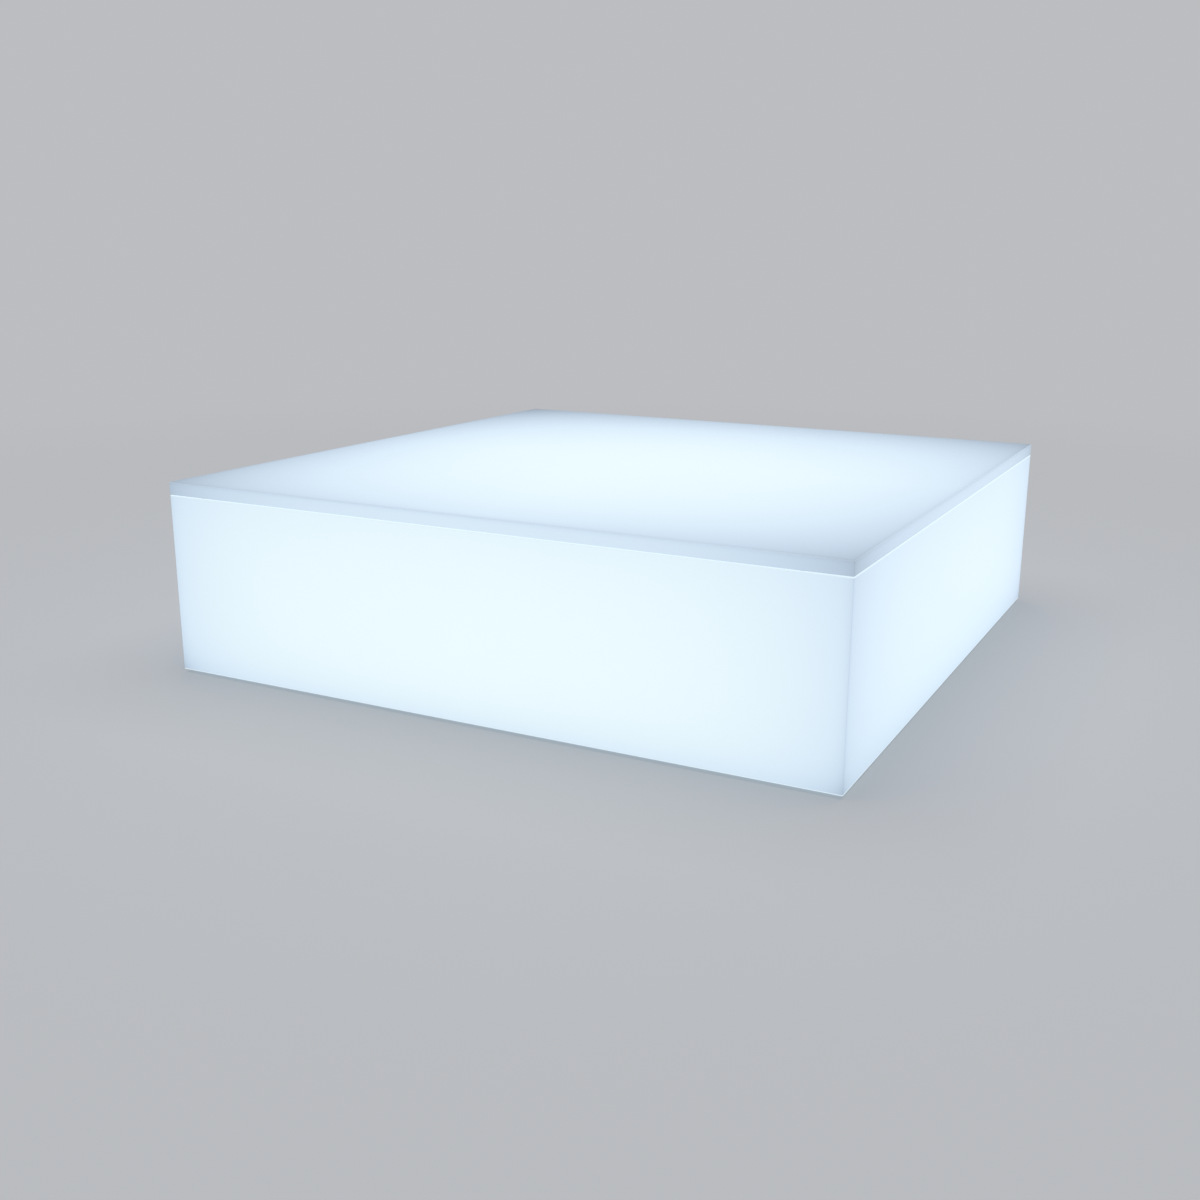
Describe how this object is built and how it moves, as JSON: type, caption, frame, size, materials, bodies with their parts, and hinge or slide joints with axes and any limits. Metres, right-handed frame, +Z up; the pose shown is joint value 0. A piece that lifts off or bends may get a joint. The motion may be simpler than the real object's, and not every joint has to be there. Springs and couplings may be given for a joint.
{
  "type": "led coffee table",
  "caption": "Low square coffee table: a lit box of opal acrylic with a lift-off lid slab, rows of LED bars, a rear inlet and rocker switch, and low screw-adjusted feet.",
  "frame": {"origin": "on the floor, under the centre of the table", "axes": "+Z up, -Y out of the front face, +X to the right seen from the front; the rear inlet is on the +Y face, near -X"},
  "size_m": [1, 1, 0.28],
  "materials": {
    "opal_lid": "lit opal acrylic, polished",
    "opal_wall": "lit opal acrylic, polished",
    "opal_base": "lit opal acrylic, satin",
    "clear_acrylic": "clear cast acrylic",
    "clear_silicone": "clear silicone",
    "rail_aluminium": "natural anodised",
    "white_board": "white solder mask",
    "lit_lens": "lit clear lens",
    "green_board": "green solder mask",
    "terminal_green": "moulded",
    "white_lead": "white cable sheath",
    "white_nylon": "moulded nylon",
    "white_case": "fine texture",
    "grey_pad": "moulded, fine texture",
    "zinc_steel": "bright zinc",
    "pan_plastic": "fine texture",
    "black_plastic": "moulded, satin",
    "nickel": "nickel plate"
  },
  "bodies": {
    "case": {"back_wall": "opal_wall", "base_panel": "opal_base", "board_sockets": "white_nylon", "bus_lead": "white_lead", "connection_pan": "pan_plastic", "controller_base": "white_case", "controller_board": "green_board", "controller_cover": "white_case", "controller_terminals": "terminal_green", "corner_rod_back_left": "clear_acrylic", "corner_rod_back_right": "clear_acrylic", "corner_rod_front_left": "clear_acrylic", "corner_rod_front_right": "clear_acrylic", "foot_block_back_left": "white_nylon", "foot_block_back_right": "white_nylon", "foot_block_front_left": "white_nylon", "foot_block_front_right": "white_nylon", "foot_block_screws": "zinc_steel", "front_wall": "opal_wall", "inlet_jack": "nickel", "inlet_lead": "white_lead", "inlet_nut": "nickel", "lead_clips": "white_nylon", "lead_taps": "white_nylon", "led_board_1": "white_board", "led_board_2": "white_board", "led_board_3": "white_board", "led_board_4": "white_board", "led_board_5": "white_board", "led_lenses_1": "lit_lens", "led_lenses_2": "lit_lens", "led_lenses_3": "lit_lens", "led_lenses_4": "lit_lens", "led_lenses_5": "lit_lens", "led_rail_1": "rail_aluminium", "led_rail_2": "rail_aluminium", "led_rail_3": "rail_aluminium", "led_rail_4": "rail_aluminium", "led_rail_5": "rail_aluminium", "left_wall": "opal_wall", "lid_bumpers": "clear_silicone", "pan_screws": "zinc_steel", "panel_screws": "zinc_steel", "right_wall": "opal_wall", "row_leads": "white_lead", "switch_housing": "black_plastic", "switch_lead": "white_lead"},
    "lid": {"lid": "opal_lid", "lid_locators": "clear_acrylic"},
    "rocker": {"switch_rocker": "black_plastic"},
    "pad_front_left": {"foot_pad_front_left": "grey_pad"},
    "stud_front_left": {"foot_stud_front_left": "zinc_steel"},
    "pad_front_right": {"foot_pad_front_right": "grey_pad"},
    "stud_front_right": {"foot_stud_front_right": "zinc_steel"},
    "pad_back_left": {"foot_pad_back_left": "grey_pad"},
    "stud_back_left": {"foot_stud_back_left": "zinc_steel"},
    "pad_back_right": {"foot_pad_back_right": "grey_pad"},
    "stud_back_right": {"foot_stud_back_right": "zinc_steel"}
  },
  "joints": [
    {"name": "lid_lift", "type": "slide", "parent": "case", "child": "lid", "axis": [0, 0, 1], "range_m": [0, 0.3]},
    {"name": "rocker_turn", "type": "hinge", "parent": "case", "child": "rocker", "pos_m": [-0.385, 0.4865, 0.041], "axis": [0, 0, 1], "range_deg": [0, 20]},
    {"name": "foot_front_left_down", "type": "slide", "parent": "case", "child": "pad_front_left", "axis": [0, 0, -1], "range_m": [0, 0.01]},
    {"name": "foot_front_left_screw", "type": "hinge", "parent": "pad_front_left", "child": "stud_front_left", "pos_m": [-0.446, -0.446, 0.02], "axis": [0, 0, -1], "range_deg": [0, 2400]},
    {"name": "foot_front_right_down", "type": "slide", "parent": "case", "child": "pad_front_right", "axis": [0, 0, -1], "range_m": [0, 0.01]},
    {"name": "foot_front_right_screw", "type": "hinge", "parent": "pad_front_right", "child": "stud_front_right", "pos_m": [0.446, -0.446, 0.02], "axis": [0, 0, -1], "range_deg": [0, 2400]},
    {"name": "foot_back_left_down", "type": "slide", "parent": "case", "child": "pad_back_left", "axis": [0, 0, -1], "range_m": [0, 0.01]},
    {"name": "foot_back_left_screw", "type": "hinge", "parent": "pad_back_left", "child": "stud_back_left", "pos_m": [-0.446, 0.446, 0.02], "axis": [0, 0, -1], "range_deg": [0, 2400]},
    {"name": "foot_back_right_down", "type": "slide", "parent": "case", "child": "pad_back_right", "axis": [0, 0, -1], "range_m": [0, 0.01]},
    {"name": "foot_back_right_screw", "type": "hinge", "parent": "pad_back_right", "child": "stud_back_right", "pos_m": [0.446, 0.446, 0.02], "axis": [0, 0, -1], "range_deg": [0, 2400]}
  ],
  "couplings": [
    {"joint": "foot_front_left_screw", "follows": "foot_front_left_down", "rad_per_m": 4188.8},
    {"joint": "foot_front_right_screw", "follows": "foot_front_right_down", "rad_per_m": 4188.8},
    {"joint": "foot_back_left_screw", "follows": "foot_back_left_down", "rad_per_m": 4188.8},
    {"joint": "foot_back_right_screw", "follows": "foot_back_right_down", "rad_per_m": 4188.8}
  ]
}
